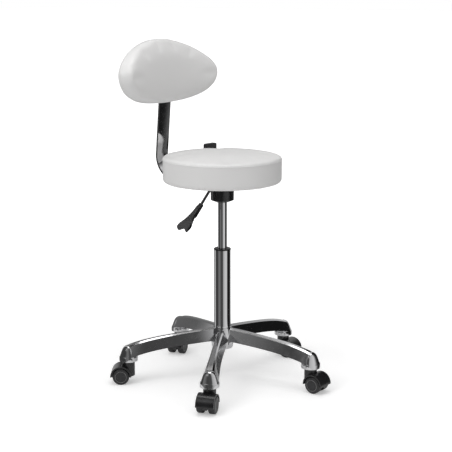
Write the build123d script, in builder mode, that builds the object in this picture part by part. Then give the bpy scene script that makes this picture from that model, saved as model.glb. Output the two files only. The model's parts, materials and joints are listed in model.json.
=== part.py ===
from build123d import *
import os
from math import cos, radians, sin, tan

os.makedirs("parts", exist_ok=True)

# A height-adjustable stool on a five-arm caster base. Millimetres, +Z up, origin on the floor
# under the centre of the column. The sitter looks towards -Y, so the backrest is at +Y.

# --- clearances ---
running_gap = 0.05
loose_gap = 0.6

# --- casters ---
wheel_radius = 25.0
wheel_width = 19.5
wheel_face_round = 4.0
axle_radius = 3.0
caster_trail = 22.0
web_width = 13.0
wheel_side_gap = 1.0
hood_radius = 31.5
hood_wall = 4.0
boss_radius = 18.5
stem_radius = 5.5
stem_depth_in_fork = 27.0
stem_depth_in_foot = 22.0
fork_foot_gap = 1.0
caster_angles = [276.0, 198.0, 128.0, 202.0, 270.0]

# --- star base ---
arm_count = 5
arm_start_angle = -5.2
stem_circle_radius = 285.0
foot_bottom = 70.0
hub_bottom = 95.0
hub_top = 158.0
hub_radius = 33.0
casting_wall = 3.5
# distance from the axis, top, bottom, half width of the ridge, half width of the lower edge
arm_stations = [
    (16.0, 157.0, 121.0, 9.0, 21.0),
    (100.0, 149.5, 114.0, 9.0, 20.0),
    (190.0, 138.0, 103.0, 9.5, 20.0),
    (240.0, 129.0, 94.0, 11.0, 22.5),
    (284.0, 116.5, 82.0, 13.0, 26.0),
]
# distance from the stem's axis, height, on the rounded foot at the end of each arm
foot_curve = [(12.0, 112.5), (20.0, 100.0), (26.0, 84.0)]
foot_top = 116.5
foot_radius = 28.0

# --- column and gas spring ---
tube_radius = 25.0
tube_wall = 1.8
tube_taper = 1.8
tube_top = 396.0
end_plate = 3.0
bush_length = 72.0
bush_flange = 4.5
cylinder_radius = 14.0
cylinder_wall = 1.5
cylinder_bottom = 256.0
cylinder_top = 582.0
cylinder_taper = 0.8
cylinder_taper_length = 40.0
rod_radius = 5.0
spigot_radius = 4.0
rod_guide_length = 22.0
piston_length = 12.0
ball_radius = 2.0
ball_circle_radius = 9.0
ball_count = 10
race_thickness = 2.0
race_radius = 13.0
buffer_length = 12.0
valve_length = 26.0
pin_radius = 2.5

# --- seat ---
seat_radius = 176.0
seat_top = 680.0
seat_bottom = 599.0
seat_top_round = 11.0
seat_bottom_round = 10.0
cover_thickness = 1.2
board_radius = 162.0
board_thickness = 12.0
board_bottom = 606.0
board_lip = 6.0
plate_size = 140.0
plate_thickness = 3.0
plate_bolt_spacing = 110.0
socket_radius = 20.0
socket_bottom = 547.0
shroud_radius = 35.0
shroud_bottom = 539.5
shroud_shoulder = 546.5
shroud_wall = 2.5
screw_radius = 3.0
screw_head_radius = 6.5
screw_head_height = 3.5

# --- height lever ---
lever_height = 590.0
lever_rod_radius = 4.0
lever_pivot_x = -14.0
lever_bend_x = -50.0
lever_drop_angle = 42.0
lever_rod_end = 88.0
grip_start = 66.0
grip_length = 105.0
grip_droop = 8.0
paddle_half_width = 21.5
pivot_pin_radius = 1.5

# --- back bar ---
bar_width = 50.0
bar_thickness = 6.0
hinge_y = 130.0
hinge_z = 586.5
barrel_radius = 8.0
hinge_pin_radius = 4.0
cheek_thickness = 4.0
bar_bend_radius = 68.0
bar_lean = 4.8
bar_top_bend_y = seat_radius + 44.0
bar_top_bend_height = 824.0
bar_top_length = 91.0
bar_top_corner = 8.0

# --- tilt lock lever ---
lock_x = seat_radius - 38.0
lock_elbow_y = seat_radius - 20.0
lock_elbow_z = 634.0
lock_grip_width = 48.0
lock_grip_height = 46.0
lock_grip_thickness = 6.0
lock_top = 686.0

# --- backrest ---
pad_half_width = 207.0
pad_top_height = 101.5
pad_bottom_height = 82.5
pad_thickness = 56.0
pad_front_radius = 500.0
pad_recline = 8.0
pad_seam_depth = 40.0
pad_board_depth = 14.5
pad_board_thickness = 7.5
pad_board_inset = 14.0
pad_centre_height = 901.9
bar_depth_in_pad = 28.0
sleeve_wall = 1.7
sleeve_bottom = -74.0
sleeve_top = 14.0
sleeve_plate_width = 90.0
pocket_gap = 2.0
knob_height = -44.0
knob_radius = 19.0
knob_length = 20.0
knob_stud_radius = 4.0


def save(part, name):
    """Label a finished piece and write it to its own file."""
    part.label = name
    export_step(part, f"parts/{name}.step")


# ======================= star base =======================


def arm_loft(stations, shrink, lower_drop):
    """One tapering arm along +X: rounded ridge on top, wider at its lower edge."""
    with BuildPart() as arm:
        for distance, top, bottom, half_ridge, half_edge in stations:
            ridge = half_ridge - 0.7 * shrink
            edge = half_edge - shrink
            crest = top - shrink
            foot = bottom - lower_drop
            with BuildSketch(Plane.YZ.offset(distance)) as section:
                with BuildLine():
                    Polyline(
                        (-edge, foot),
                        (-ridge, crest - 0.35 * ridge),
                        (-0.55 * ridge, crest),
                        (0.55 * ridge, crest),
                        (ridge, crest - 0.35 * ridge),
                        (edge, foot),
                        close=True,
                    )
                make_face()
        loft()
    return arm.part


def rounded_foot():
    """Domed boss over a caster stem, flat underneath."""
    with BuildPart() as foot:
        with BuildSketch(Plane.XZ):
            with BuildLine():
                Spline(
                    (0, foot_top),
                    *foot_curve,
                    (foot_radius, foot_bottom),
                    tangents=((1, 0), (0, -1)),
                )
                Polyline((foot_radius, foot_bottom), (0, foot_bottom), (0, foot_top))
            make_face()
        revolve(axis=Axis.Z)
    return foot.part


hollow_stations = arm_stations[:4]
taper_height = hub_top - hub_bottom
with BuildPart() as star_base:
    with BuildSketch(Plane.XZ):
        with BuildLine():
            Polyline(
                (0, hub_bottom),
                (hub_radius - 2, hub_bottom),
                (hub_radius, hub_bottom + 12),
                (hub_radius, hub_top - 16),
                (tube_radius + 3.5, hub_top),
                (0, hub_top),
                close=True,
            )
        make_face()
    revolve(axis=Axis.Z)
    with PolarLocations(0, arm_count, start_angle=arm_start_angle):
        add(arm_loft(arm_stations, 0, 0))
    with PolarLocations(stem_circle_radius, arm_count, start_angle=arm_start_angle):
        add(rounded_foot())
    with PolarLocations(0, arm_count, start_angle=arm_start_angle):
        add(arm_loft(hollow_stations, casting_wall, 6), mode=Mode.SUBTRACT)
    with BuildSketch(Plane.XZ):
        with BuildLine():
            Polyline(
                (0, hub_bottom),
                (tube_radius + 3.5, hub_bottom),
                (tube_radius + 3.5, hub_top),
                (0, hub_top),
                close=True,
            )
        make_face()
    revolve(axis=Axis.Z)
    with BuildSketch(Plane.XZ):
        with BuildLine():
            Polyline(
                (0, hub_bottom - 1),
                (tube_radius - tube_taper + running_gap, hub_bottom - 1),
                (tube_radius + running_gap, hub_top + 8),
                (0, hub_top + 8),
                close=True,
            )
        make_face()
    revolve(axis=Axis.Z, mode=Mode.SUBTRACT)
    with BuildSketch(Plane.XY.offset(foot_bottom)):
        with PolarLocations(stem_circle_radius, arm_count, start_angle=arm_start_angle):
            Circle(stem_radius)
    extrude(amount=stem_depth_in_foot, mode=Mode.SUBTRACT)
save(star_base.part, "star_base")

# ======================= column =======================

tube_inner = tube_radius - tube_wall
tube_bottom = hub_bottom + 4
tube_bottom_radius = tube_radius - tube_taper * (hub_top + 8 - tube_bottom) / (taper_height + 9)
with BuildPart() as outer_column:
    with BuildSketch(Plane.XZ):
        with BuildLine():
            Polyline(
                (tube_bottom_radius - tube_wall, tube_bottom + end_plate),
                (spigot_radius + loose_gap, tube_bottom + end_plate),
                (spigot_radius + loose_gap, tube_bottom),
                (tube_bottom_radius, tube_bottom),
                (tube_radius, hub_top + 8),
                (tube_radius, tube_top),
                (tube_inner, tube_top),
                (tube_inner, hub_top + 8),
                close=True,
            )
        make_face()
    revolve(axis=Axis.Z)
save(outer_column.part, "outer_column")

with BuildPart() as guide_bush:
    with BuildSketch(Plane.XZ):
        with BuildLine():
            Polyline(
                (cylinder_radius + running_gap, tube_top - bush_length),
                (tube_inner, tube_top - bush_length),
                (tube_inner, tube_top),
                (tube_radius + 0.6, tube_top),
                (tube_radius + 0.6, tube_top + bush_flange - 1.5),
                (tube_radius - 1.6, tube_top + bush_flange),
                (cylinder_radius + 2.5, tube_top + bush_flange),
                (cylinder_radius + running_gap, tube_top + bush_flange - 1.5),
                close=True,
            )
        make_face()
    revolve(axis=Axis.Z)
save(guide_bush.part, "guide_bush")

# thrust bearing that carries the piston rod on the column's end plate
lower_race_z = tube_bottom + end_plate
balls_z = lower_race_z + race_thickness + ball_radius
upper_race_z = balls_z + ball_radius


def race(bottom, inner_radius, name):
    """Flat washer of the thrust bearing."""
    with BuildPart() as washer:
        with BuildSketch(Plane.XY.offset(bottom)):
            Circle(race_radius)
            Circle(inner_radius, mode=Mode.SUBTRACT)
        extrude(amount=race_thickness)
    save(washer.part, name)


race(lower_race_z, spigot_radius + loose_gap, "bearing_lower_race")
race(upper_race_z, spigot_radius + running_gap, "bearing_upper_race")

with BuildPart() as bearing_balls:
    with Locations(Plane.XY.offset(balls_z)):
        with PolarLocations(ball_circle_radius, ball_count):
            Sphere(ball_radius - 0.01)
save(bearing_balls.part, "bearing_balls")

rod_shoulder_z = upper_race_z + race_thickness
with BuildPart() as rubber_buffer:
    with BuildSketch(Plane.XY.offset(rod_shoulder_z)):
        Circle(race_radius)
        Circle(rod_radius + running_gap, mode=Mode.SUBTRACT)
    extrude(amount=buffer_length)
save(rubber_buffer.part, "rubber_buffer")

# ======================= piston rod =======================

piston_bottom = cylinder_bottom + rod_guide_length + loose_gap
piston_top = piston_bottom + piston_length
rod_end_z = tube_bottom - 3.5
clip_bottom = tube_bottom - 2.2
with BuildPart() as piston_rod:
    with BuildSketch(Plane.XZ):
        with BuildLine():
            Polyline(
                (0, rod_end_z),
                (spigot_radius, rod_end_z),
                (spigot_radius, rod_shoulder_z),
                (rod_radius, rod_shoulder_z),
                (rod_radius, piston_bottom),
                (spigot_radius, piston_bottom),
                (spigot_radius, piston_top + 2),
                (0, piston_top + 2),
                close=True,
            )
        make_face()
    revolve(axis=Axis.Z)
save(piston_rod.part, "piston_rod")

with BuildPart() as piston:
    with BuildSketch(Plane.XY.offset(piston_bottom)):
        Circle(cylinder_radius - cylinder_wall - running_gap)
        Circle(spigot_radius, mode=Mode.SUBTRACT)
    extrude(amount=piston_length)
save(piston.part, "piston")

with BuildPart() as rod_clip:
    with BuildSketch(Plane.XY.offset(clip_bottom)):
        Circle(spigot_radius + 4.5)
        Circle(spigot_radius, mode=Mode.SUBTRACT)
        with Locations((spigot_radius + 2, 0)):
            Rectangle(8, 2.4, mode=Mode.SUBTRACT)
    extrude(amount=1.6)
save(rod_clip.part, "rod_clip")

# ======================= gas cylinder =======================

bore_radius = cylinder_radius - cylinder_wall
with BuildPart() as gas_cylinder:
    with BuildSketch(Plane.XZ):
        with BuildLine():
            Polyline(
                (bore_radius, cylinder_bottom),
                (cylinder_radius, cylinder_bottom),
                (cylinder_radius, cylinder_top - cylinder_taper_length),
                (cylinder_radius - cylinder_taper, cylinder_top),
                (pin_radius + running_gap, cylinder_top),
                (pin_radius + running_gap, cylinder_top - 6),
                (bore_radius - cylinder_taper, cylinder_top - 6),
                (bore_radius, cylinder_top - cylinder_taper_length),
                close=True,
            )
        make_face()
    revolve(axis=Axis.Z)
save(gas_cylinder.part, "gas_cylinder")

with BuildPart() as rod_guide:
    with BuildSketch(Plane.XY.offset(cylinder_bottom)):
        Circle(bore_radius)
        Circle(rod_radius + running_gap, mode=Mode.SUBTRACT)
    extrude(amount=rod_guide_length)
save(rod_guide.part, "rod_guide")

valve_top = cylinder_top - cylinder_taper_length - 2
with BuildPart() as valve_body:
    with BuildSketch(Plane.XY.offset(valve_top - valve_length)):
        Circle(bore_radius)
        Circle(pin_radius + running_gap, mode=Mode.SUBTRACT)
    extrude(amount=valve_length)
save(valve_body.part, "valve_body")

pin_top = lever_height - lever_rod_radius - 0.4
with BuildPart() as release_pin:
    with BuildSketch(Plane.XY.offset(valve_top - valve_length + 4)):
        Circle(pin_radius)
    extrude(amount=pin_top - (valve_top - valve_length + 4))
    fillet(release_pin.edges().group_by(Axis.Z)[-1], 1.2)
save(release_pin.part, "release_pin")

# ======================= seat mechanism =======================

plate_bottom = board_bottom - plate_thickness
taper_slope = cylinder_taper / cylinder_taper_length
socket_bore_bottom = cylinder_radius - taper_slope * (
    socket_bottom - (cylinder_top - cylinder_taper_length)
)
with BuildPart() as mounting_plate:
    with BuildSketch(Plane.XY.offset(plate_bottom)):
        RectangleRounded(plate_size, plate_size, 18)
        with GridLocations(plate_bolt_spacing, plate_bolt_spacing, 2, 2):
            Circle(screw_radius + loose_gap, mode=Mode.SUBTRACT)
    extrude(amount=plate_thickness)
    with BuildSketch(Plane.XY.offset(socket_bottom)):
        Circle(socket_radius)
    extrude(amount=plate_bottom - socket_bottom)
    with BuildSketch(Plane.XZ):
        with BuildLine():
            Polyline(
                (0, socket_bottom - 1),
                (socket_bore_bottom + taper_slope, socket_bottom - 1),
                (cylinder_radius - cylinder_taper, cylinder_top),
                (cylinder_radius + 2, cylinder_top),
                (cylinder_radius + 2, plate_bottom),
                (0, plate_bottom),
                close=True,
            )
        make_face()
    revolve(axis=Axis.Z, mode=Mode.SUBTRACT)
    with BuildSketch(Plane.YZ.offset(-socket_radius - 1)):
        with Locations((0, lever_height)):
            Rectangle(2 * lever_rod_radius + 2.5, 4 * lever_rod_radius)
    extrude(amount=socket_radius, mode=Mode.SUBTRACT)
    with BuildSketch(Plane.XZ.offset(-socket_radius)):
        with Locations((lever_pivot_x, lever_height)):
            Circle(pivot_pin_radius)
    extrude(amount=2 * socket_radius, mode=Mode.SUBTRACT)
save(mounting_plate.part, "mounting_plate")

pivot_pin_half = (socket_radius**2 - lever_pivot_x**2) ** 0.5 + 1
with BuildPart() as lever_pivot_pin:
    with BuildSketch(Plane.XZ.offset(-pivot_pin_half)):
        with Locations((lever_pivot_x, lever_height)):
            Circle(pivot_pin_radius)
    extrude(amount=2 * pivot_pin_half)
save(lever_pivot_pin.part, "lever_pivot_pin")

shroud_inner = shroud_radius - shroud_wall
with BuildPart() as mechanism_shroud:
    with BuildSketch(Plane.XZ):
        with BuildLine():
            Polyline(
                (cylinder_radius + 0.3, shroud_bottom),
                (cylinder_radius + 1.5, shroud_bottom - 1),
                (shroud_radius - 1.5, shroud_shoulder - 1),
                (shroud_radius - 0.7, shroud_shoulder),
                (shroud_radius, plate_bottom),
                (shroud_inner, plate_bottom),
                (shroud_inner, shroud_shoulder + 1.4),
                (socket_radius + 1, shroud_bottom + 4.4),
                (cylinder_radius + 0.3, shroud_bottom + 1.4),
                close=True,
            )
        make_face()
    revolve(axis=Axis.Z)
    with BuildSketch(Plane.YZ.offset(-shroud_radius - 1)):
        with Locations((0, lever_height)):
            Rectangle(2 * lever_rod_radius + 3.5, 4 * lever_rod_radius + 4)
    extrude(amount=shroud_radius - socket_radius, mode=Mode.SUBTRACT)
save(mechanism_shroud.part, "mechanism_shroud")

# ======================= seat =======================

bracket_half_x = bar_width / 2 + cheek_thickness + 9
bracket_depth = 46.0
bracket_screw_x = bracket_half_x + 3
bracket_y = hinge_y - 11
with BuildPart() as seat_board:
    with BuildSketch(Plane.XY.offset(board_bottom)):
        Circle(board_radius)
        with GridLocations(plate_bolt_spacing, plate_bolt_spacing, 2, 2):
            Circle(screw_radius + 0.2, mode=Mode.SUBTRACT)
        with Locations((0, bracket_y)):
            with GridLocations(2 * bracket_screw_x, bracket_depth - 20, 2, 2):
                Circle(screw_radius + 0.2, mode=Mode.SUBTRACT)
    extrude(amount=board_thickness)
save(seat_board.part, "seat_board")


def seat_profile(inset):
    """Half section of the upholstered seat, its wall moved in by inset."""
    with BuildSketch(Plane.XZ) as outline:
        with BuildLine():
            Polyline(
                (0, seat_bottom + inset),
                (seat_radius - inset, seat_bottom + inset),
                (seat_radius - inset, seat_top - inset),
                (0, seat_top - inset),
                close=True,
            )
        make_face()
        corners = outline.vertices().group_by(Axis.X)[-1].sort_by(Axis.Y)
        fillet(corners[0], seat_bottom_round - inset)
        corners = outline.vertices().group_by(Axis.X)[-1].sort_by(Axis.Y)
        fillet(corners[-1], seat_top_round - inset)
    return outline.sketch


recess_radius = board_radius - board_lip
with BuildPart() as seat_foam:
    add(seat_profile(cover_thickness))
    revolve(axis=Axis.Z)
    with BuildSketch(Plane.XY.offset(board_bottom)):
        Circle(board_radius + 0.2)
    extrude(amount=board_thickness + 0.1, mode=Mode.SUBTRACT)
    with BuildSketch(Plane.XY.offset(seat_bottom)):
        Circle(recess_radius)
    extrude(amount=board_bottom - seat_bottom, mode=Mode.SUBTRACT)
save(seat_foam.part, "seat_foam")

with BuildPart() as seat_cover:
    add(seat_profile(0))
    revolve(axis=Axis.Z)
    add(seat_profile(cover_thickness))
    revolve(axis=Axis.Z, mode=Mode.SUBTRACT)
    with BuildSketch(Plane.XY.offset(seat_bottom - 1)):
        Circle(recess_radius)
    extrude(amount=10, mode=Mode.SUBTRACT)
save(seat_cover.part, "seat_cover")

with BuildPart() as underside_cloth:
    with BuildSketch(Plane.XY.offset(board_bottom - 1.0)):
        Circle(recess_radius - 0.3)
        Rectangle(plate_size + 1, plate_size + 1, mode=Mode.SUBTRACT)
        with Locations((0, bracket_y)):
            Rectangle(2 * bracket_screw_x + 21, bracket_depth + 3, mode=Mode.SUBTRACT)
    extrude(amount=0.9)
save(underside_cloth.part, "underside_cloth")

screw_length = plate_thickness + board_thickness - 1


def screws(positions, head_top, length, name):
    """A set of identical pan-head screws driven upwards, each a separate solid."""
    with BuildPart() as group:
        with BuildSketch(Plane.XY.offset(head_top - screw_head_height)):
            with Locations(*positions):
                Circle(screw_head_radius)
        extrude(amount=screw_head_height)
        with BuildSketch(Plane.XY.offset(head_top)):
            with Locations(*positions):
                Circle(screw_radius)
        extrude(amount=length)
    save(group.part, name)


half_bolt = plate_bolt_spacing / 2
plate_positions = [(x, y) for x in (-half_bolt, half_bolt) for y in (-half_bolt, half_bolt)]
screws(plate_positions, plate_bottom, screw_length, "plate_screws")

# ======================= tilt bracket under the seat =======================

cheek_inner = bar_width / 2 + 0.5
with BuildPart() as tilt_bracket:
    with BuildSketch(Plane.XY.offset(plate_bottom)):
        with Locations((0, bracket_y)):
            RectangleRounded(2 * bracket_screw_x + 20, bracket_depth, 5)
            with GridLocations(2 * bracket_screw_x, bracket_depth - 20, 2, 2):
                Circle(screw_radius + loose_gap, mode=Mode.SUBTRACT)
    extrude(amount=plate_thickness)
    for side in (-1, 1):
        cheek_x = cheek_inner if side > 0 else -cheek_inner - cheek_thickness
        with BuildSketch(Plane.YZ.offset(cheek_x)):
            with BuildLine():
                Polyline(
                    (hinge_y - 13, plate_bottom),
                    (hinge_y - 9, hinge_z - 6),
                    (hinge_y, hinge_z - 11),
                    (hinge_y + 9, hinge_z - 6),
                    (hinge_y + 12, plate_bottom),
                    close=True,
                )
            make_face()
            with Locations((hinge_y, hinge_z)):
                Circle(hinge_pin_radius + running_gap, mode=Mode.SUBTRACT)
        extrude(amount=cheek_thickness)
save(tilt_bracket.part, "tilt_bracket")

half_screw_y = (bracket_depth - 20) / 2
bracket_positions = [
    (x, bracket_y + y)
    for x in (-bracket_screw_x, bracket_screw_x)
    for y in (-half_screw_y, half_screw_y)
]
screws(bracket_positions, plate_bottom, screw_length, "bracket_screws")

# ======================= height lever =======================

drop = radians(lever_drop_angle)
rod_tip = (lever_bend_x - lever_rod_end * cos(drop), lever_height - lever_rod_end * sin(drop))
with BuildPart() as lever_rod:
    with BuildLine(Plane.XZ) as lever_path:
        FilletPolyline((5, lever_height), (lever_bend_x, lever_height), rod_tip, radius=14)
    with BuildSketch(Plane(origin=(5, 0, lever_height), z_dir=(-1, 0, 0))):
        Circle(lever_rod_radius)
    sweep(path=lever_path.line)
    with BuildSketch(Plane.XZ.offset(-10)):
        with Locations((lever_pivot_x, lever_height)):
            Circle(pivot_pin_radius + running_gap)
    extrude(amount=20, mode=Mode.SUBTRACT)
save(lever_rod.part, "lever_rod")

grip_angle = radians(lever_drop_angle - grip_droop)
grip_origin = (
    lever_bend_x - grip_start * cos(drop),
    0,
    lever_height - grip_start * sin(drop),
)
grip_axis = (-cos(drop), 0, -sin(drop))
grip_plane = Plane(origin=grip_origin, x_dir=(-cos(grip_angle), 0, -sin(grip_angle)), z_dir=(-sin(grip_angle), 0, cos(grip_angle)))
paddle_start = 42.0
lobe_radius = 10.0
with BuildPart() as lever_grip:
    with BuildSketch(grip_plane.offset(-4.5)):
        with BuildLine():
            neck_low = (8, -7)
            neck_high = (8, 7)
            Line(neck_high, neck_low)
            Spline(
                neck_low,
                (paddle_start, -8),
                (grip_length - 30, -paddle_half_width + 5),
                (grip_length - 10, -paddle_half_width),
                tangents=((1, 0), (1, 0.1)),
            )
            Spline(
                (grip_length - 10, -paddle_half_width),
                (grip_length, -paddle_half_width + lobe_radius),
                (grip_length - 7, 0),
                (grip_length, paddle_half_width - lobe_radius),
                (grip_length - 10, paddle_half_width),
                tangents=((1, 0.1), (-1, 0.1)),
            )
            Spline(
                (grip_length - 10, paddle_half_width),
                (grip_length - 30, paddle_half_width - 5),
                (paddle_start, 8),
                neck_high,
                tangents=((-1, 0.1), (-1, 0)),
            )
        make_face()
    extrude(amount=9)
    with BuildSketch(Plane(origin=grip_origin, z_dir=grip_axis)):
        Circle(7.5)
    extrude(amount=44)
    with BuildSketch(Plane(origin=grip_origin, z_dir=grip_axis).offset(-1)):
        Circle(lever_rod_radius)
    extrude(amount=lever_rod_end - grip_start + 1, mode=Mode.SUBTRACT)
save(lever_grip.part, "lever_grip")

# ======================= back bar =======================

strap_z = hinge_z + barrel_radius - bar_thickness / 2
foot_corner_y = bar_top_bend_y + tan(radians(bar_lean)) * (bar_top_bend_height - strap_z)
recline = radians(pad_recline)
bar_top_y = bar_top_bend_y + bar_top_length * sin(recline)
bar_top_z = bar_top_bend_height + bar_top_length * cos(recline)
with BuildPart() as back_bar:
    with BuildLine(Plane.YZ) as bar_path:
        FilletPolyline(
            (hinge_y, strap_z),
            (foot_corner_y, strap_z),
            (bar_top_bend_y, bar_top_bend_height),
            (bar_top_y, bar_top_z),
            radius=[bar_bend_radius, 20],
        )
    with BuildSketch(Plane(origin=(0, hinge_y, strap_z), x_dir=(1, 0, 0), z_dir=(0, 1, 0))):
        Rectangle(bar_width, bar_thickness)
    sweep(path=bar_path.line)
    with BuildSketch(Plane.YZ.offset(-bar_width / 2)):
        with Locations((hinge_y, hinge_z)):
            Circle(barrel_radius)
    extrude(amount=bar_width)
    with BuildSketch(Plane.YZ.offset(-bar_width)):
        with Locations((hinge_y, hinge_z)):
            Circle(hinge_pin_radius + running_gap)
    extrude(amount=2 * bar_width, mode=Mode.SUBTRACT)
    fillet(
        back_bar.edges().filter_by(lambda e: abs(e.length - bar_thickness) < 0.01).sort_by(Axis.Z)[-2:],
        bar_top_corner,
    )
save(back_bar.part, "back_bar")

# ======================= tilt lock lever =======================

pin_end_x = -cheek_inner - cheek_thickness - 9.5
lock_grip_bottom = lock_top - lock_grip_height
with BuildPart() as tilt_lock_rod:
    with BuildLine() as lock_path:
        FilletPolyline(
            (pin_end_x, hinge_y, hinge_z),
            (lock_x, hinge_y, hinge_z),
            (lock_x, lock_elbow_y, lock_elbow_z),
            (lock_x, lock_elbow_y, lock_top - 8),
            radius=[12, 16],
        )
    with BuildSketch(Plane(origin=(pin_end_x, hinge_y, hinge_z), z_dir=(1, 0, 0))):
        Circle(hinge_pin_radius)
    sweep(path=lock_path.line)
save(tilt_lock_rod.part, "tilt_lock_rod")

with BuildPart() as tilt_lock_grip:
    with BuildSketch(Plane.XZ.offset(-lock_elbow_y - 7)):
        with Locations((lock_x, lock_grip_bottom + lock_grip_height / 2)):
            RectangleRounded(lock_grip_width, lock_grip_height, 5)
    extrude(amount=14)
    with BuildSketch(Plane.XY.offset(lock_grip_bottom - 1)):
        with Locations((lock_x, lock_elbow_y)):
            Circle(hinge_pin_radius)
    extrude(amount=lock_grip_height - 7, mode=Mode.SUBTRACT)
save(tilt_lock_grip.part, "tilt_lock_grip")

with BuildPart() as tilt_lock_nut:
    with BuildSketch(Plane.YZ.offset(-cheek_inner - cheek_thickness - 9)):
        with Locations((hinge_y, hinge_z)):
            RegularPolygon(8, 6)
            Circle(hinge_pin_radius, mode=Mode.SUBTRACT)
    extrude(amount=8.6)
save(tilt_lock_nut.part, "tilt_lock_nut")

# ======================= backrest =======================

# Local frame of the pad: x to the sitter's left, y up the reclined pad, z towards the back.
# Its origin is on the bar's centre line, level with the widest part of the pad.
pad_centre_z = pad_centre_height
pad_centre_y = bar_top_bend_y + (pad_centre_z - bar_top_bend_height) * tan(recline)
up = (0, sin(recline), cos(recline))
to_back = (0, cos(recline), -sin(recline))
pad_plane = Plane(origin=(0, pad_centre_y, pad_centre_z), x_dir=(-1, 0, 0), z_dir=to_back)
axis_offset = bar_depth_in_pad + pad_front_radius
wrap_plane = Plane(
    origin=(0, pad_centre_y - axis_offset * to_back[1], pad_centre_z - axis_offset * to_back[2]),
    x_dir=(1, 0, 0),
    z_dir=up,
)


def pad_block(inset, front_depth, back_depth):
    """Slice of the wrapped pad between two depths behind its front face."""
    reach = pad_half_width - inset
    top = pad_top_height - inset
    low = -pad_bottom_height + inset
    with BuildPart() as block:
        with BuildSketch(pad_plane.offset(-90)):
            with BuildLine():
                Spline(
                    (-reach, 0),
                    (-0.66 * reach, 0.66 * top),
                    (0, top),
                    (0.66 * reach, 0.66 * top),
                    (reach, 0),
                    tangents=((0, 1), (0, -1)),
                )
                Spline(
                    (reach, 0),
                    (0.75 * reach, 0.75 * low),
                    (0, low),
                    (-0.75 * reach, 0.75 * low),
                    (-reach, 0),
                    tangents=((0, -1), (0, 1)),
                )
            make_face()
        extrude(amount=150)
        with BuildSketch(wrap_plane.offset(-160)):
            Circle(pad_front_radius + back_depth)
            Circle(pad_front_radius + front_depth, mode=Mode.SUBTRACT)
            with Locations((0, -pad_front_radius)):
                Rectangle(3 * pad_front_radius, 2 * pad_front_radius, mode=Mode.SUBTRACT)
        extrude(amount=320, mode=Mode.INTERSECT)
    return block.part


def bar_pocket(half_width, front_depth, back_depth, low, high):
    """Straight-sided space around the bar inside the pad."""
    with BuildPart() as pocket:
        with BuildSketch(pad_plane.offset(front_depth - bar_depth_in_pad)):
            with Locations((0, (low + high) / 2)):
                Rectangle(2 * half_width, high - low)
        extrude(amount=back_depth - front_depth)
    return pocket.part


sleeve_half_x = bar_width / 2 + running_gap + sleeve_wall
sleeve_front = bar_depth_in_pad - bar_thickness / 2 - running_gap - sleeve_wall
sleeve_back = bar_depth_in_pad + bar_thickness / 2 + running_gap + sleeve_wall
pocket_top = sleeve_top + 8
pocket_low = -pad_bottom_height - 20
pocket_solid = bar_pocket(
    sleeve_plate_width / 2 + pocket_gap,
    pad_board_depth + pad_board_thickness - 1,
    sleeve_back + pocket_gap,
    sleeve_bottom - 4,
    pocket_top,
)
slot_solid = bar_pocket(
    bar_width / 2 + pocket_gap,
    bar_depth_in_pad - bar_thickness / 2 - pocket_gap,
    bar_depth_in_pad + bar_thickness / 2 + 2 * pocket_gap,
    pocket_low,
    0,
)
board_back = pad_board_depth + pad_board_thickness

with BuildPart() as backrest_board:
    add(pad_block(pad_board_inset, pad_board_depth, board_back))
save(backrest_board.part, "backrest_board")

with BuildPart() as backrest_foam:
    add(pad_block(cover_thickness, cover_thickness, pad_board_depth))
save(backrest_foam.part, "backrest_foam")

with BuildPart() as backrest_rear_foam:
    add(pad_block(cover_thickness, board_back, pad_thickness - cover_thickness))
    add(pocket_solid, mode=Mode.SUBTRACT)
    add(slot_solid, mode=Mode.SUBTRACT)
    with BuildSketch(pad_plane):
        with Locations((0, knob_height)):
            Circle(knob_stud_radius + 2)
    extrude(amount=60, mode=Mode.SUBTRACT)
save(backrest_rear_foam.part, "backrest_rear_foam")

with BuildPart() as backrest_cover:
    add(pad_block(0, 0, pad_seam_depth))
    add(pad_block(cover_thickness, cover_thickness, pad_seam_depth + 20), mode=Mode.SUBTRACT)
    add(slot_solid, mode=Mode.SUBTRACT)
save(backrest_cover.part, "backrest_cover")

with BuildPart() as backrest_rear_cover:
    add(pad_block(0, pad_seam_depth, pad_thickness))
    add(
        pad_block(cover_thickness, pad_seam_depth - 20, pad_thickness - cover_thickness),
        mode=Mode.SUBTRACT,
    )
    with BuildSketch(pad_plane):
        with Locations((0, knob_height)):
            Circle(knob_stud_radius + 2)
    extrude(amount=60, mode=Mode.SUBTRACT)
save(backrest_rear_cover.part, "backrest_rear_cover")

with BuildPart() as bar_sleeve:
    add(bar_pocket(sleeve_half_x, sleeve_front, sleeve_back, sleeve_bottom, sleeve_top))
    add(bar_pocket(sleeve_plate_width / 2, board_back, sleeve_front + 0.2, sleeve_bottom + 10, sleeve_top))
    add(
        bar_pocket(
            bar_width / 2 + running_gap,
            bar_depth_in_pad - bar_thickness / 2 - running_gap,
            bar_depth_in_pad + bar_thickness / 2 + running_gap,
            sleeve_bottom - 5,
            sleeve_top + 5,
        ),
        mode=Mode.SUBTRACT,
    )
    with BuildSketch(pad_plane):
        with Locations((0, knob_height)):
            Circle(knob_stud_radius + running_gap)
        with Locations((0, (sleeve_bottom + 10 + sleeve_top) / 2)):
            with GridLocations(sleeve_plate_width - 16, sleeve_top - sleeve_bottom - 34, 2, 2):
                Circle(2.2)
    extrude(amount=30, mode=Mode.SUBTRACT)
    with BuildSketch(pad_plane.offset(-20)):
        with Locations((0, (sleeve_bottom + 10 + sleeve_top) / 2)):
            with GridLocations(sleeve_plate_width - 16, sleeve_top - sleeve_bottom - 34, 2, 2):
                Circle(2.2)
    extrude(amount=30, mode=Mode.SUBTRACT)
save(bar_sleeve.part, "bar_sleeve")

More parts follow.
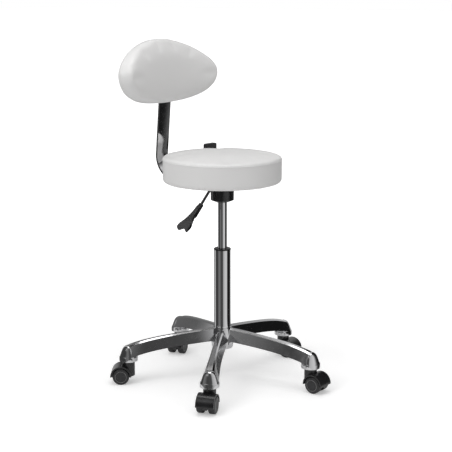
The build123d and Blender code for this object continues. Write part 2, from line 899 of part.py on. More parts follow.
knob_face = pad_thickness - bar_depth_in_pad + 1.5
with BuildPart() as height_knob:
    with BuildSketch(pad_plane.offset(knob_face)):
        with Locations((0, knob_height)):
            Circle(knob_radius)
            with PolarLocations(knob_radius + 2, 6):
                Circle(5, mode=Mode.SUBTRACT)
    extrude(amount=knob_length)
save(height_knob.part, "height_knob")

with BuildPart() as knob_stud:
    with BuildSketch(pad_plane.offset(bar_thickness / 2 + 0.1)):
        with Locations((0, knob_height)):
            Circle(knob_stud_radius)
    extrude(amount=knob_face - bar_thickness / 2 - 0.1)
save(knob_stud.part, "knob_stud")

# ======================= casters =======================

axle_height = wheel_radius
axle_half = web_width / 2 + wheel_width - 4
fork_top = foot_bottom - fork_foot_gap
hood_half = web_width / 2 + wheel_side_gap + wheel_width - 0.5
with BuildPart() as caster_stems:
    with BuildSketch(Plane.XY.offset(fork_top - stem_depth_in_fork)):
        with PolarLocations(stem_circle_radius, arm_count, start_angle=arm_start_angle):
            Circle(stem_radius)
    extrude(amount=stem_depth_in_fork + fork_foot_gap + stem_depth_in_foot)
save(caster_stems.part, "caster_stems")


def caster_frame(index):
    """Plane on the floor under a stem, its x axis pointing the way the caster trails."""
    arm = radians(arm_start_angle + index * 360 / arm_count)
    trail = radians(caster_angles[index])
    return Plane(
        origin=(stem_circle_radius * cos(arm), stem_circle_radius * sin(arm), 0),
        x_dir=(cos(trail), sin(trail), 0),
        z_dir=(0, 0, 1),
    )


for index in range(arm_count):
    name = f"caster_{index + 1}"
    ground = caster_frame(index)
    side = Plane(origin=ground.origin, x_dir=ground.x_dir, z_dir=-ground.y_dir)

    with BuildPart() as fork:
        with BuildSketch(side.offset(-hood_half)):
            with Locations((caster_trail, axle_height)):
                Circle(hood_radius)
            with Locations((caster_trail, axle_height - hood_radius / 2 - 1)):
                Rectangle(3 * hood_radius, hood_radius, mode=Mode.SUBTRACT)
        extrude(amount=2 * hood_half)
        with BuildSketch(ground.offset(axle_height - 1)):
            Circle(boss_radius)
        extrude(amount=fork_top - axle_height + 1)
        for start in (-hood_half - 5, web_width / 2):
            with BuildSketch(side.offset(start)):
                with Locations((caster_trail, axle_height)):
                    Circle(hood_radius - hood_wall)
            extrude(amount=hood_half + 5 - web_width / 2, mode=Mode.SUBTRACT)
        with BuildSketch(side.offset(-web_width / 2)):
            with Locations((caster_trail, axle_height)):
                Circle(hood_radius - 2)
            with Locations((caster_trail, axle_height - hood_radius / 2 - 8)):
                Rectangle(3 * hood_radius, hood_radius, mode=Mode.SUBTRACT)
        extrude(amount=web_width)
        with BuildSketch(side.offset(-web_width)):
            with Locations((caster_trail, axle_height)):
                Circle(axle_radius)
        extrude(amount=2 * web_width, mode=Mode.SUBTRACT)
        with BuildSketch(ground.offset(fork_top - stem_depth_in_fork)):
            Circle(stem_radius + running_gap)
        extrude(amount=stem_depth_in_fork + 1, mode=Mode.SUBTRACT)
    save(fork.part, f"{name}_fork")

    with BuildPart() as axle:
        with BuildSketch(side.offset(-axle_half)):
            with Locations((caster_trail, axle_height)):
                Circle(axle_radius)
        extrude(amount=2 * axle_half)
    save(axle.part, f"{name}_axle")

    for hand, start in (("left", -web_width / 2 - wheel_side_gap - wheel_width), ("right", web_width / 2 + wheel_side_gap)):
        with BuildPart() as wheel:
            with BuildSketch(side.offset(start)):
                with Locations((caster_trail, axle_height)):
                    Circle(wheel_radius)
            extrude(amount=wheel_width)
            rims = wheel.edges().filter_by(GeomType.CIRCLE)
            fillet(rims, wheel_face_round)
            bore_start = start if hand == "right" else start + 3
            with BuildSketch(side.offset(bore_start)):
                with Locations((caster_trail, axle_height)):
                    Circle(axle_radius + running_gap)
            extrude(amount=wheel_width - 3, mode=Mode.SUBTRACT)
        save(wheel.part, f"{name}_wheel_{hand}")
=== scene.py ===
import json
from math import cos, pi, radians, sin

import bpy
from mathutils import Matrix, Vector


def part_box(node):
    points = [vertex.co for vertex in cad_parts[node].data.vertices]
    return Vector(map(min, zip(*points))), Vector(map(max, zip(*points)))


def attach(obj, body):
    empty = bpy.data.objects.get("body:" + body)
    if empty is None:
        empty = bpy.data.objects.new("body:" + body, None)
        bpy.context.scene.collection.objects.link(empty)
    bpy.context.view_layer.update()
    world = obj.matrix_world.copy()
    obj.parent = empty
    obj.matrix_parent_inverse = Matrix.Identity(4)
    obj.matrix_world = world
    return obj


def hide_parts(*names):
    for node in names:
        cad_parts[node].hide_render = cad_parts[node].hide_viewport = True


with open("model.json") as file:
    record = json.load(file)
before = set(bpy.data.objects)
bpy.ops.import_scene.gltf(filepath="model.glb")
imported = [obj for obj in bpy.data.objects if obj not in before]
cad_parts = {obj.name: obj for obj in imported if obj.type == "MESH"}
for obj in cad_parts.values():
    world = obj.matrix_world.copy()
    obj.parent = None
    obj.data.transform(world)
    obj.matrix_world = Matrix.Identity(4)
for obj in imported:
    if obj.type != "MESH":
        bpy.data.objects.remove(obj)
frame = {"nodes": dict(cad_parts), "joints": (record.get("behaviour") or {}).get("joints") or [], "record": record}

bl_info = {
    "name": "Salon stool finisher",
    "version": (1, 0, 0),
    "blender": (4, 5, 0),
    "location": "View3D > Sidebar > Stool",
    "description": "Upholstery, finishes and studio for a gas-lift stool with a backrest",
    "category": "Object",
}

RECLINE = radians(8.0)
PAD_FRONT_RADIUS = 0.500
PAD_BAR_DEPTH = 0.028
# the bar's centre line at the middle of the pad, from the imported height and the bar's lean
PAD_ORIGIN = Vector((0.0, 0.2309, 0.9019))
PAD_ROUNDING = 0.017
PAD_SEAM_HEIGHT = 0.012
PAD_REAR_BAND = 0.001
PAD_EDGE_SHARE = 0.8

SEAT_EDGE_BEVEL = 0.007
SEAT_FLOOR_BAND = 0.004
SEAT_RIM_BAND = 0.004
SEAT_SEAM_DROP = 0.010

# points this close to a seam's plane are held while the cover is stuffed
SEAM_BAND = 0.004
SEAM_CORD_RADIUS = 0.0009

STUFFING_FRAMES = 20
CLOTH_QUALITY = 5
CLOTH_MASS = 0.25
CLOTH_STRETCH_STIFFNESS = 40.0
CLOTH_BENDING_STIFFNESS = 4.0

RING_RADIUS = 0.0165
RING_CORD_RADIUS = 0.0007
RING_OFFSET = 0.0271  # from the wheel's joint outwards along its axle

ZINC = (0.55, 0.55, 0.53)
FOAM_SHADES = (0.8, 0.75, 0.58), (0.86, 0.82, 0.66)
BIRCH_SHADES = (0.52, 0.36, 0.2), (0.68, 0.5, 0.31)
FELT_SHADES = (0.015,) * 3, (0.03,) * 3

FLOOR_SIZE = 120.0
GLOW_START, GLOW_END = 0.35, 1.6
GLOW_LOW, GLOW_HIGH = 0.34, 1.0
ROOM_STRENGTH = 0.44
DRUM_RADIUS = 0.46
DRUM_HEIGHT = 1.15
DRUM_MIDDLE = 0.577
LENS_SIDE_TURN = radians(0.19)
# name; place to the right, to the front and up; height aimed at; width; power
LAMPS = [
    ("key", -1.9, 1.8, 2.6, 0.5, 1.5, 27),
    ("top", 0.0, 0.2, 3.0, 0.0, 1.8, 24),
    ("fill", 2.4, 2.0, 1.2, 0.6, 1.6, 4),
]


# ---------------------------------------------------------------- settings


class StoolUpholstery(bpy.types.PropertyGroup):
    seat_radius: bpy.props.FloatProperty(
        name="Seat radius",
        description="Radius of the round seat",
        default=0.1745,
        unit="LENGTH",
    )
    seat_bottom: bpy.props.FloatProperty(
        name="Seat bottom",
        description="Height of the seat's lower face",
        default=0.6,
        unit="LENGTH",
    )
    seat_depth: bpy.props.FloatProperty(
        name="Seat depth", description="Thickness of the seat", default=0.0775, unit="LENGTH"
    )
    pad_half_width: bpy.props.FloatProperty(
        name="Pad half width",
        description="Half the pad's width along its curve",
        default=0.214,
        unit="LENGTH",
    )
    pad_top: bpy.props.FloatProperty(
        name="Pad top",
        description="Pad height above its widest line",
        default=0.1075,
        unit="LENGTH",
    )
    pad_low: bpy.props.FloatProperty(
        name="Pad low",
        description="Pad depth below its widest line",
        default=0.0845,
        unit="LENGTH",
    )
    pad_thickness: bpy.props.FloatProperty(
        name="Pad thickness", description="Thickness of the pad", default=0.052, unit="LENGTH"
    )
    cell: bpy.props.FloatProperty(
        name="Cloth cell",
        description="Cell size of the simulated cover",
        default=0.006,
        unit="LENGTH",
    )
    seat_pressure: bpy.props.FloatProperty(
        name="Seat pressure",
        description="How hard the foam pushes the seat's cover out",
        default=1.0,
    )
    pad_pressure: bpy.props.FloatProperty(
        name="Pad pressure",
        description="How hard the foam pushes the pad's cover out",
        default=3.0,
    )


class StoolFinish(bpy.types.PropertyGroup):
    vinyl: bpy.props.FloatVectorProperty(
        name="Vinyl",
        description="Colour of the cover",
        default=(0.81, 0.805, 0.80),
        subtype="COLOR",
    )
    alloy: bpy.props.FloatVectorProperty(
        name="Alloy",
        description="Colour of the polished base",
        default=(0.72, 0.72, 0.73),
        subtype="COLOR",
    )
    chrome: bpy.props.FloatVectorProperty(
        name="Chrome",
        description="Colour of the plated steel",
        default=(0.78, 0.78, 0.79),
        subtype="COLOR",
    )
    plastic: bpy.props.FloatVectorProperty(
        name="Plastic",
        description="Colour of the black plastic",
        default=(0.012, 0.012, 0.013),
        subtype="COLOR",
    )


class StoolStudio(bpy.types.PropertyGroup):
    camera_azimuth: bpy.props.FloatProperty(
        name="Camera azimuth",
        description="Side the stool is seen from",
        default=radians(-52.0),
        subtype="ANGLE",
    )
    camera_distance: bpy.props.FloatProperty(
        name="Camera distance",
        description="Level distance to the column",
        default=3.2342,
        unit="LENGTH",
    )
    camera_height: bpy.props.FloatProperty(
        name="Camera height", description="Height of the lens", default=1.1417, unit="LENGTH"
    )
    camera_pitch: bpy.props.FloatProperty(
        name="Camera pitch",
        description="Downward tilt of the lens",
        default=radians(11.79),
        subtype="ANGLE",
    )
    lens: bpy.props.FloatProperty(
        name="Lens", description="Focal length in millimetres", default=88.96
    )


# ---------------------------------------------------------------- materials


def surface(name, colour, metallic, roughness, coat=0.0, sheen=0.0):
    """Principled material with its even values on the shader's own sockets."""
    mat = bpy.data.materials.new(name)
    mat.use_nodes = True
    shader = mat.node_tree.nodes["Principled BSDF"]
    shader.inputs["Base Color"].default_value = (*colour, 1.0)
    shader.inputs["Metallic"].default_value = metallic
    shader.inputs["Roughness"].default_value = roughness
    shader.inputs["Coat Weight"].default_value = coat
    shader.inputs["Sheen Weight"].default_value = sheen
    return mat, shader


def pattern(mat, scale, stretch=(1, 1, 1), detail=4.0, cells=False):
    """Noise or cell pattern on Object coordinates; returns its value output."""
    tree = mat.node_tree
    coord = tree.nodes.new("ShaderNodeTexCoord")
    mapping = tree.nodes.new("ShaderNodeMapping")
    mapping.inputs["Scale"].default_value = stretch
    texture = tree.nodes.new("ShaderNodeTexVoronoi" if cells else "ShaderNodeTexNoise")
    texture.inputs["Scale"].default_value = scale
    if not cells:
        texture.inputs["Detail"].default_value = detail
    tree.links.new(coord.outputs["Object"], mapping.inputs["Vector"])
    tree.links.new(mapping.outputs["Vector"], texture.inputs["Vector"])
    return texture.outputs["Distance" if cells else "Fac"]


def bump(mat, shader, value, strength, distance):
    node = mat.node_tree.nodes.new("ShaderNodeBump")
    node.inputs["Strength"].default_value = strength
    node.inputs["Distance"].default_value = distance
    mat.node_tree.links.new(value, node.inputs["Height"])
    previous = shader.inputs["Normal"].links
    if previous:
        mat.node_tree.links.new(previous[0].from_socket, node.inputs["Normal"])
    mat.node_tree.links.new(node.outputs["Normal"], shader.inputs["Normal"])


def spread(mat, value, low, high, socket):
    """Maps a pattern from low to high onto a shader input; numbers or colours."""
    ramp = mat.node_tree.nodes.new("ShaderNodeValToRGB")
    ends = [low, high]
    for stop, end, place in zip(ramp.color_ramp.elements, ends, (0.3, 0.7)):
        stop.position = place
        stop.color = (*end, 1.0) if hasattr(end, "__len__") else (end, end, end, 1.0)
    mat.node_tree.links.new(value, ramp.inputs["Fac"])
    mat.node_tree.links.new(ramp.outputs["Color"], socket)


def tint(colour, factor):
    return tuple(min(1.0, c * factor) for c in colour)


def vinyl_material(colour):
    mat, shader = surface(
        "white_vinyl_grained", colour, metallic=0.0, roughness=0.42, coat=0.08, sheen=0.05
    )
    cloud = pattern(mat, scale=3.0)
    spread(mat, cloud, tint(colour, 0.97), tint(colour, 1.02), shader.inputs["Base Color"])
    gloss = pattern(mat, scale=60.0)
    spread(mat, gloss, low=0.36, high=0.48, socket=shader.inputs["Roughness"])
    grain = pattern(mat, scale=900.0, cells=True)
    bump(mat, shader, grain, strength=0.22, distance=0.0003)
    creases = pattern(mat, scale=18.0, detail=2.0)
    bump(mat, shader, creases, strength=0.12, distance=0.002)
    return mat


def metal_material(name, colour, rough_low, rough_high, grain):
    mat, shader = surface(name, colour, metallic=1.0, roughness=rough_low)
    polish = pattern(mat, grain, detail=6.0)
    spread(mat, polish, rough_low, rough_high, shader.inputs["Roughness"])
    waves = pattern(mat, grain * 0.4, detail=3.0)
    bump(mat, shader, waves, strength=0.03, distance=0.0005)
    return mat


def plastic_material(name, colour, rough_low, rough_high, coat):
    mat, shader = surface(name, colour, metallic=0.0, roughness=rough_low, coat=coat)
    spread(mat, pattern(mat, scale=35.0), rough_low, rough_high, shader.inputs["Roughness"])
    texture = pattern(mat, scale=1400.0, detail=2.0)
    bump(mat, shader, texture, strength=0.08, distance=0.0002)
    return mat


def grain_material(name, low, high, stretch, scale, roughness):
    mat, shader = surface(name, low, metallic=0.0, roughness=roughness)
    value = pattern(mat, scale, stretch)
    spread(mat, value, low, high, shader.inputs["Base Color"])
    bump(mat, shader, value, strength=0.25, distance=0.0008)
    return mat


def make_materials(finish):
    dark = tuple(finish.plastic)
    even = (1, 1, 1)
    return {
        "white_vinyl": vinyl_material(tuple(finish.vinyl)),
        "polished_alloy": metal_material(
            "polished_alloy_cast", tuple(finish.alloy), rough_low=0.09, rough_high=0.17, grain=55.0
        ),
        "chrome": metal_material(
            "chrome_plate", tuple(finish.chrome), rough_low=0.045, rough_high=0.09, grain=90.0
        ),
        "zinc_steel": metal_material(
            "zinc_plated_steel", ZINC, rough_low=0.28, rough_high=0.42, grain=120.0
        ),
        "black_steel": plastic_material(
            "black_painted_steel", tint(dark, 1.4), rough_low=0.25, rough_high=0.4, coat=0.2
        ),
        "black_plastic": plastic_material(
            "black_gloss_plastic", dark, rough_low=0.2, rough_high=0.34, coat=0.3
        ),
        "caster_plastic": plastic_material(
            "caster_hood_plastic", dark, rough_low=0.22, rough_high=0.36, coat=0.25
        ),
        "wheel_plastic": plastic_material(
            "wheel_nylon", tint(dark, 1.5), rough_low=0.3, rough_high=0.45, coat=0.1
        ),
        "rubber": plastic_material(
            "buffer_rubber", tint(dark, 2.0), rough_low=0.6, rough_high=0.75, coat=0.0
        ),
        "foam": grain_material(
            "foam_block", *FOAM_SHADES, stretch=even, scale=300.0, roughness=0.95
        ),
        "plywood": grain_material(
            "birch_plywood", *BIRCH_SHADES, stretch=(1, 1, 12), scale=22.0, roughness=0.7
        ),
        "dust_cloth": grain_material(
            "dust_cloth_felt", *FELT_SHADES, stretch=even, scale=500.0, roughness=0.95
        ),
    }


MATERIALS = {}


# ---------------------------------------------------------------- modelling helpers


def deselect():
    if bpy.context.object and bpy.context.object.mode != "OBJECT":
        bpy.ops.object.mode_set(mode="OBJECT")
    bpy.ops.object.select_all(action="DESELECT")


def activate(obj):
    deselect()
    obj.select_set(True)
    bpy.context.view_layer.objects.active = obj


def apply_modifier(obj, kind, name, **values):
    activate(obj)
    modifier = obj.modifiers.new(name, kind)
    for key, value in values.items():
        setattr(modifier, key, value)
    bpy.ops.object.modifier_apply(modifier=modifier.name)


def place_in_mesh(obj):
    activate(obj)
    bpy.ops.object.transform_apply(location=True, rotation=True, scale=True)


def stuff(obj, pressure, held):
    """Blows the cover out with a cloth simulation; held() picks the points that stay."""
    activate(obj)
    group = obj.vertex_groups.new(name="held")
    group.add([v.index for v in obj.data.vertices if held(v.co)], 1.0, "REPLACE")
    cloth = obj.modifiers.new("stuffing", "CLOTH")
    settings = cloth.settings
    settings.quality = CLOTH_QUALITY
    settings.mass = CLOTH_MASS
    settings.tension_stiffness = CLOTH_STRETCH_STIFFNESS
    settings.compression_stiffness = CLOTH_STRETCH_STIFFNESS
    settings.bending_stiffness = CLOTH_BENDING_STIFFNESS
    settings.use_pressure = True
    settings.uniform_pressure_force = pressure
    settings.vertex_group_mass = "held"
    settings.effector_weights.gravity = 0.0
    cloth.point_cache.frame_start = 1
    cloth.point_cache.frame_end = STUFFING_FRAMES
    for step in range(1, STUFFING_FRAMES + 1):
        bpy.context.scene.frame_set(step)
    bpy.ops.object.modifier_apply(modifier=cloth.name)
    bpy.context.scene.frame_set(1)
    obj.vertex_groups.clear()


def seam_cord(cover, height, name, radius):
    """Piped seam round a cover where a level plane cuts it."""
    activate(cover)
    bpy.ops.object.duplicate()
    cord = bpy.context.object
    cord.name = name
    bpy.ops.object.mode_set(mode="EDIT")
    bpy.ops.mesh.select_all(action="SELECT")
    bpy.ops.mesh.bisect(
        plane_co=(0, 0, height), plane_no=(0, 0, 1), clear_inner=True, clear_outer=True
    )
    bpy.ops.object.mode_set(mode="OBJECT")
    bpy.ops.object.convert(target="CURVE")
    cord = bpy.context.object
    cord.data.bevel_depth = radius
    cord.data.bevel_resolution = 2
    bpy.ops.object.convert(target="MESH")
    return bpy.context.object


def finish_soft(obj, body, slot):
    obj.data.materials.clear()
    obj.data.materials.append(MATERIALS[slot])
    activate(obj)
    bpy.ops.object.shade_smooth()
    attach(obj, body)


# ---------------------------------------------------------------- operators


class STOOL_OT_finishes(bpy.types.Operator):
    """Gives every carried-over part its finish"""

    bl_idname = "stool.finishes"
    bl_label = "Finishes"

    def execute(self, context):
        MATERIALS.update(make_materials(context.scene.stool_finish))
        for entry in frame["record"]["subparts"]:
            node = frame["nodes"][entry["node"]]
            material = MATERIALS[entry["material_slot"]]
            if node.data.materials:
                node.data.materials[0] = material
            else:
                node.data.materials.append(material)
        return {"FINISHED"}


class STOOL_OT_seat(bpy.types.Operator):
    """Makes the stuffed round seat and its seam"""

    bl_idname = "stool.seat"
    bl_label = "Seat"

    def execute(self, context):
        size = context.scene.stool_upholstery
        deselect()
        centre = size.seat_bottom + size.seat_depth / 2
        bpy.ops.mesh.primitive_cylinder_add(
            vertices=96, radius=size.seat_radius, depth=size.seat_depth, location=(0, 0, centre)
        )
        seat = context.object
        seat.name = "seat_cushion"
        place_in_mesh(seat)
        apply_modifier(
            seat, "BEVEL", "edge", width=SEAT_EDGE_BEVEL, segments=4, limit_method="ANGLE"
        )
        apply_modifier(seat, "REMESH", "cloth_cells", mode="VOXEL", voxel_size=size.cell)
        floor_line = size.seat_bottom + SEAT_FLOOR_BAND
        seam_line = size.seat_bottom + size.seat_depth - SEAT_SEAM_DROP
        rim = size.seat_radius - SEAT_RIM_BAND

        def held(point):
            level = abs(point.z - seam_line) < SEAM_BAND
            return point.z < floor_line or (level and point.xy.length > rim)

        stuff(seat, size.seat_pressure, held)
        apply_modifier(seat, "SMOOTH", "even", factor=0.5, iterations=1)
        cord = seam_cord(seat, seam_line, "seat_seam", SEAM_CORD_RADIUS)
        apply_modifier(seat, "SUBSURF", "fine", levels=1, render_levels=1)
        finish_soft(seat, "seat", "white_vinyl")
        finish_soft(cord, "seat", "white_vinyl")
        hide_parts("seat_cover", "seat_foam")
        return {"FINISHED"}


class STOOL_OT_backrest(bpy.types.Operator):
    """Makes the stuffed, curved backrest pad and its seam"""

    bl_idname = "stool.backrest"
    bl_label = "Backrest"

    def outline(self, size):
        """Closed curve: widest at its middle, full below, higher and more pointed above."""
        deselect()
        bpy.ops.curve.primitive_bezier_circle_add(radius=1.0)
        curve = bpy.context.object
        curve.name = "backrest_pad"
        wide, top, low = size.pad_half_width, size.pad_top, size.pad_low
        top_pull, low_pull = 0.427, 0.667
        anchors = [
            ((-wide, 0), (-wide, -low * low_pull), (-wide, top * top_pull)),
            ((0, top), (-wide * top_pull, top), (wide * top_pull, top)),
            ((wide, 0), (wide, top * top_pull), (wide, -low * low_pull)),
            ((0, -low), (wide * low_pull, -low), (-wide * low_pull, -low)),
        ]
        for point, (place, before, after) in zip(curve.data.splines[0].bezier_points, anchors):
            point.handle_left_type = point.handle_right_type = "FREE"
            point.co = (*place, 0)
            point.handle_left = (*before, 0)
            point.handle_right = (*after, 0)
        return curve

    def wrap(self, obj):
        """Curves a flat piece round the back and leans it; x wide, y up, z to the back."""
        place = Matrix(
            (
                (1, 0, 0, PAD_ORIGIN.x),
                (0, sin(RECLINE), cos(RECLINE), PAD_ORIGIN.y),
                (0, cos(RECLINE), -sin(RECLINE), PAD_ORIGIN.z),
                (0, 0, 0, 1),
            )
        )
        middle = PAD_FRONT_RADIUS + PAD_BAR_DEPTH
        for vertex in obj.data.vertices:
            turn = vertex.co.x / middle
            radius = middle + vertex.co.z
            vertex.co = Vector((radius * sin(turn), vertex.co.y, radius * cos(turn) - middle))
        obj.data.transform(place)
        activate(obj)
        bpy.ops.object.mode_set(mode="EDIT")
        bpy.ops.mesh.select_all(action="SELECT")
        bpy.ops.mesh.normals_make_consistent(inside=False)
        bpy.ops.object.mode_set(mode="OBJECT")

    def execute(self, context):
        size = context.scene.stool_upholstery
        curve = self.outline(size)
        curve.data.dimensions = "2D"
        curve.data.fill_mode = "BOTH"
        curve.data.resolution_u = 32
        curve.data.offset = -PAD_ROUNDING
        curve.data.bevel_depth = PAD_ROUNDING
        curve.data.bevel_resolution = 5
        curve.data.extrude = size.pad_thickness / 2 - PAD_ROUNDING
        activate(curve)
        bpy.ops.object.convert(target="MESH")
        pad = context.object
        place_in_mesh(pad)
        apply_modifier(pad, "REMESH", "cloth_cells", mode="VOXEL", voxel_size=size.cell)
        seam_line = PAD_SEAM_HEIGHT
        half = size.pad_thickness / 2

        def held(point):
            outward = (point.x / size.pad_half_width) ** 2 + (point.y / size.pad_low) ** 2
            level = abs(point.z - seam_line) < SEAM_BAND
            return (level and outward > PAD_EDGE_SHARE) or point.z > half - PAD_REAR_BAND

        stuff(pad, size.pad_pressure, held)
        apply_modifier(pad, "SMOOTH", "even", factor=0.5, iterations=4)
        cord = seam_cord(pad, seam_line, "backrest_seam", SEAM_CORD_RADIUS)
        apply_modifier(pad, "SUBSURF", "fine", levels=1, render_levels=1)
        for piece in (pad, cord):
            self.wrap(piece)
            finish_soft(piece, "backrest", "white_vinyl")
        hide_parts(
            "backrest_cover",
            "backrest_rear_cover",
            "backrest_foam",
            "backrest_rear_foam",
            "backrest_board",
        )
        return {"FINISHED"}


class STOOL_OT_wheel_rings(bpy.types.Operator):
    """Adds a pale grey ring on the face of every wheel, a painted highlight where the wheel's cap meets its tyre
    """

    bl_idname = "stool.wheel_rings"
    bl_label = "Wheel rings"

    def execute(self, context):
        # painted highlight: grey metal ring standing in for the edge highlight between the wheel's cap and tyre
        painted_highlight_finish = metal_material(
            "wheel_painted_highlight_ring", (0.3, 0.3, 0.3), rough_low=0.3, rough_high=0.4, grain=80.0
        )
        for joint in frame["joints"]:
            if "_roll_" not in joint["name"]:
                continue
            body = joint["child"]
            lo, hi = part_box(f"{body.rsplit('_', 1)[0]}_wheel_{body.rsplit('_', 1)[1]}")
            axis = Vector(joint["axis"]).normalized()
            hub = Vector(joint["pos_m"])
            if (((Vector(lo) + Vector(hi)) / 2) - hub).dot(axis) < 0:
                axis = -axis
            deselect()
            bpy.ops.mesh.primitive_torus_add(
                major_radius=RING_RADIUS,
                minor_radius=RING_CORD_RADIUS,
                major_segments=48,
                minor_segments=8,
            )
            ring = context.object
            ring.name = f"{body}_ring"
            turn = Vector((0, 0, 1)).rotation_difference(axis).to_matrix().to_4x4()
            ring.data.transform(Matrix.Translation(hub + axis * RING_OFFSET) @ turn)
            ring.data.materials.append(painted_highlight_finish)
            bpy.ops.object.shade_smooth()
            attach(ring, body)
        return {"FINISHED"}


# brightness of the cards in a reflection, by degrees to the right of the lens
CARDS = [
    (-176, 0.25), (-130, 0.12), (-112, 0.8), (-100, 0.06), (-62, 0.05), (-48, 0.2),
    (-30, 0.16), (-18, 0.06), (6, 0.08), (16, 0.5), (58, 0.75), (70, 0.06),
    (84, 0.01), (124, 0.01), (140, 0.7), (176, 0.25),
]


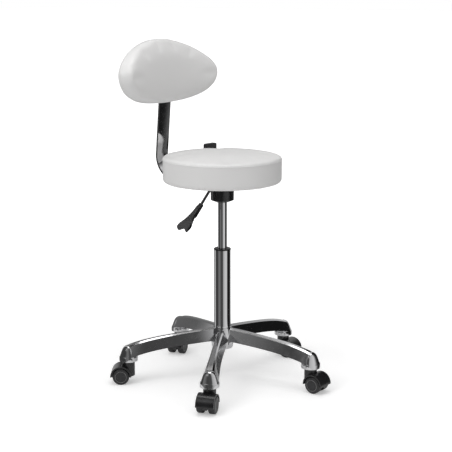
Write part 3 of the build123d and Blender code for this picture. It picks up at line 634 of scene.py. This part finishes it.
class STOOL_OT_studio(bpy.types.Operator):
    """Sets the floor, the soft lights and the camera"""

    bl_idname = "stool.studio"
    bl_label = "Studio"

    def light(self, name, place, target, width, power):
        data = bpy.data.lights.new(name, "AREA")
        data.shape = "SQUARE"
        data.size = width
        data.energy = power
        lamp = bpy.data.objects.new(name, data)
        bpy.context.scene.collection.objects.link(lamp)
        lamp.location = place
        aim = Vector(target) - Vector(place)
        lamp.rotation_mode = "QUATERNION"
        lamp.rotation_quaternion = aim.to_track_quat("-Z", "Y")

    def fade(self, mat, socket):
        """The floor glows more with distance, so that it meets the white room without an edge."""
        tree = mat.node_tree
        coord = tree.nodes.new("ShaderNodeTexCoord")
        length = tree.nodes.new("ShaderNodeVectorMath")
        length.operation = "LENGTH"
        span = tree.nodes.new("ShaderNodeMapRange")
        span.interpolation_type = "SMOOTHSTEP"
        span.inputs["From Min"].default_value = GLOW_START
        span.inputs["From Max"].default_value = GLOW_END
        span.inputs["To Min"].default_value = GLOW_LOW
        span.inputs["To Max"].default_value = GLOW_HIGH
        tree.links.new(coord.outputs["Object"], length.inputs[0])
        tree.links.new(length.outputs["Value"], span.inputs["Value"])
        path = tree.nodes.new("ShaderNodeLightPath")
        seen = tree.nodes.new("ShaderNodeMath")
        seen.operation = "MULTIPLY"
        tree.links.new(span.outputs["Result"], seen.inputs[0])
        tree.links.new(path.outputs["Is Camera Ray"], seen.inputs[1])
        tree.links.new(seen.outputs["Value"], socket)

    def world(self):
        """Even white room; the metal's reflections come from the drum."""
        world = bpy.data.worlds.new("studio_world")
        bpy.context.scene.world = world
        world.use_nodes = True
        tree = world.node_tree
        tree.nodes.clear()
        out = tree.nodes.new("ShaderNodeOutputWorld")
        mix = tree.nodes.new("ShaderNodeMixShader")
        path = tree.nodes.new("ShaderNodeLightPath")
        plain = tree.nodes.new("ShaderNodeBackground")
        room = tree.nodes.new("ShaderNodeBackground")
        room.inputs["Color"].default_value = (1, 1, 1, 1)
        room.inputs["Strength"].default_value = ROOM_STRENGTH
        plain.inputs["Color"].default_value = (1, 1, 1, 1)
        links = tree.links
        links.new(path.outputs["Is Camera Ray"], mix.inputs["Fac"])
        links.new(room.outputs["Background"], mix.inputs[1])
        links.new(plain.outputs["Background"], mix.inputs[2])
        links.new(mix.outputs["Shader"], out.inputs["Surface"])

    def drum(self, azimuth):
        """Open cylinder of light and dark cards round the stool, seen only in reflections."""
        deselect()
        bpy.ops.mesh.primitive_cylinder_add(
            vertices=96,
            radius=DRUM_RADIUS,
            depth=DRUM_HEIGHT,
            location=(0, 0, DRUM_MIDDLE),
            end_fill_type="NOTHING",
        )
        drum = bpy.context.object
        drum.name = "studio_drum"
        place_in_mesh(drum)
        mat = bpy.data.materials.new("studio_drum_cards")
        mat.use_nodes = True
        tree = mat.node_tree
        tree.nodes.clear()
        coord = tree.nodes.new("ShaderNodeTexCoord")
        turn = tree.nodes.new("ShaderNodeMapping")
        turn.inputs["Rotation"].default_value = (0, 0, -azimuth)
        split = tree.nodes.new("ShaderNodeSeparateXYZ")
        back = tree.nodes.new("ShaderNodeMath")
        back.operation = "MULTIPLY"
        back.inputs[1].default_value = -1.0
        angle = tree.nodes.new("ShaderNodeMath")
        angle.operation = "ARCTAN2"
        share = tree.nodes.new("ShaderNodeMath")
        share.operation = "MULTIPLY_ADD"
        share.inputs[1].default_value = 1 / (2 * pi)
        share.inputs[2].default_value = 0.5
        ramp = tree.nodes.new("ShaderNodeValToRGB")
        elements = ramp.color_ramp.elements
        while len(elements) < len(CARDS):
            elements.new(0.5)
        for element, (degrees, value) in zip(elements, CARDS):
            element.position = degrees / 360 + 0.5
            element.color = (value, value, value, 1.0)
        glow = tree.nodes.new("ShaderNodeEmission")
        out = tree.nodes.new("ShaderNodeOutputMaterial")
        links = tree.links
        links.new(coord.outputs["Object"], turn.inputs["Vector"])
        links.new(turn.outputs["Vector"], split.inputs["Vector"])
        links.new(split.outputs["Y"], back.inputs[0])
        links.new(split.outputs["X"], angle.inputs[0])
        links.new(back.outputs["Value"], angle.inputs[1])
        links.new(angle.outputs["Value"], share.inputs[0])
        links.new(share.outputs["Value"], ramp.inputs["Fac"])
        links.new(ramp.outputs["Color"], glow.inputs["Color"])
        links.new(glow.outputs["Emission"], out.inputs["Surface"])
        drum.data.materials.append(mat)
        drum.visible_camera = False
        drum.visible_diffuse = False
        drum.visible_shadow = False
        drum.visible_transmission = False

    def execute(self, context):
        studio = context.scene.stool_studio
        azimuth = studio.camera_azimuth
        deselect()
        bpy.ops.mesh.primitive_plane_add(size=FLOOR_SIZE)
        floor = context.object
        floor.name = "studio_floor"
        mat, shader = surface("studio_floor_white", (0.93, 0.93, 0.93), 0.0, 0.6)
        shader.inputs["Emission Color"].default_value = (1, 1, 1, 1)
        self.fade(mat, shader.inputs["Emission Strength"])
        floor.data.materials.append(mat)
        right = Vector((cos(azimuth), sin(azimuth), 0))
        front = Vector((sin(azimuth), -cos(azimuth), 0))
        up = Vector((0, 0, 1))
        for name, side, ahead, height, aim, width, power in LAMPS:
            place = right * side + front * ahead + up * height
            self.light(name, place, (0, 0, aim), width, power)
        self.world()
        self.drum(azimuth)
        camera_data = bpy.data.cameras.new("camera")
        camera_data.lens = studio.lens
        camera = bpy.data.objects.new("camera", camera_data)
        context.scene.collection.objects.link(camera)
        place = front * studio.camera_distance
        camera.location = (place.x, place.y, studio.camera_height)
        camera.rotation_euler = (pi / 2 - studio.camera_pitch, 0, azimuth - LENS_SIDE_TURN)
        context.scene.camera = camera
        context.scene.view_settings.view_transform = "Standard"
        return {"FINISHED"}


class STOOL_PT_panel(bpy.types.Panel):
    """Lists the stool's operators and sizes"""

    bl_label = "Stool"
    bl_idname = "STOOL_PT_panel"
    bl_space_type = "VIEW_3D"
    bl_region_type = "UI"
    bl_category = "Stool"

    def draw(self, context):
        scene = context.scene
        for group in (scene.stool_upholstery, scene.stool_finish, scene.stool_studio):
            for name in group.__annotations__:
                self.layout.prop(group, name)
        for operator in STEPS:
            self.layout.operator(operator)


STEPS = ["stool.finishes", "stool.seat", "stool.backrest", "stool.wheel_rings", "stool.studio"]
CLASSES = [
    StoolUpholstery,
    StoolFinish,
    StoolStudio,
    STOOL_OT_finishes,
    STOOL_OT_seat,
    STOOL_OT_backrest,
    STOOL_OT_wheel_rings,
    STOOL_OT_studio,
    STOOL_PT_panel,
]


def register():
    for item in CLASSES:
        bpy.utils.register_class(item)
    bpy.types.Scene.stool_upholstery = bpy.props.PointerProperty(type=StoolUpholstery)
    bpy.types.Scene.stool_finish = bpy.props.PointerProperty(type=StoolFinish)
    bpy.types.Scene.stool_studio = bpy.props.PointerProperty(type=StoolStudio)


def unregister():
    del bpy.types.Scene.stool_upholstery
    del bpy.types.Scene.stool_finish
    del bpy.types.Scene.stool_studio
    for item in reversed(CLASSES):
        bpy.utils.unregister_class(item)


def main():
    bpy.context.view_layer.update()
    register()
    for step in STEPS:
        family, name = step.split(".")
        getattr(getattr(bpy.ops, family), name)()


if __name__ == "__main__":
    main()
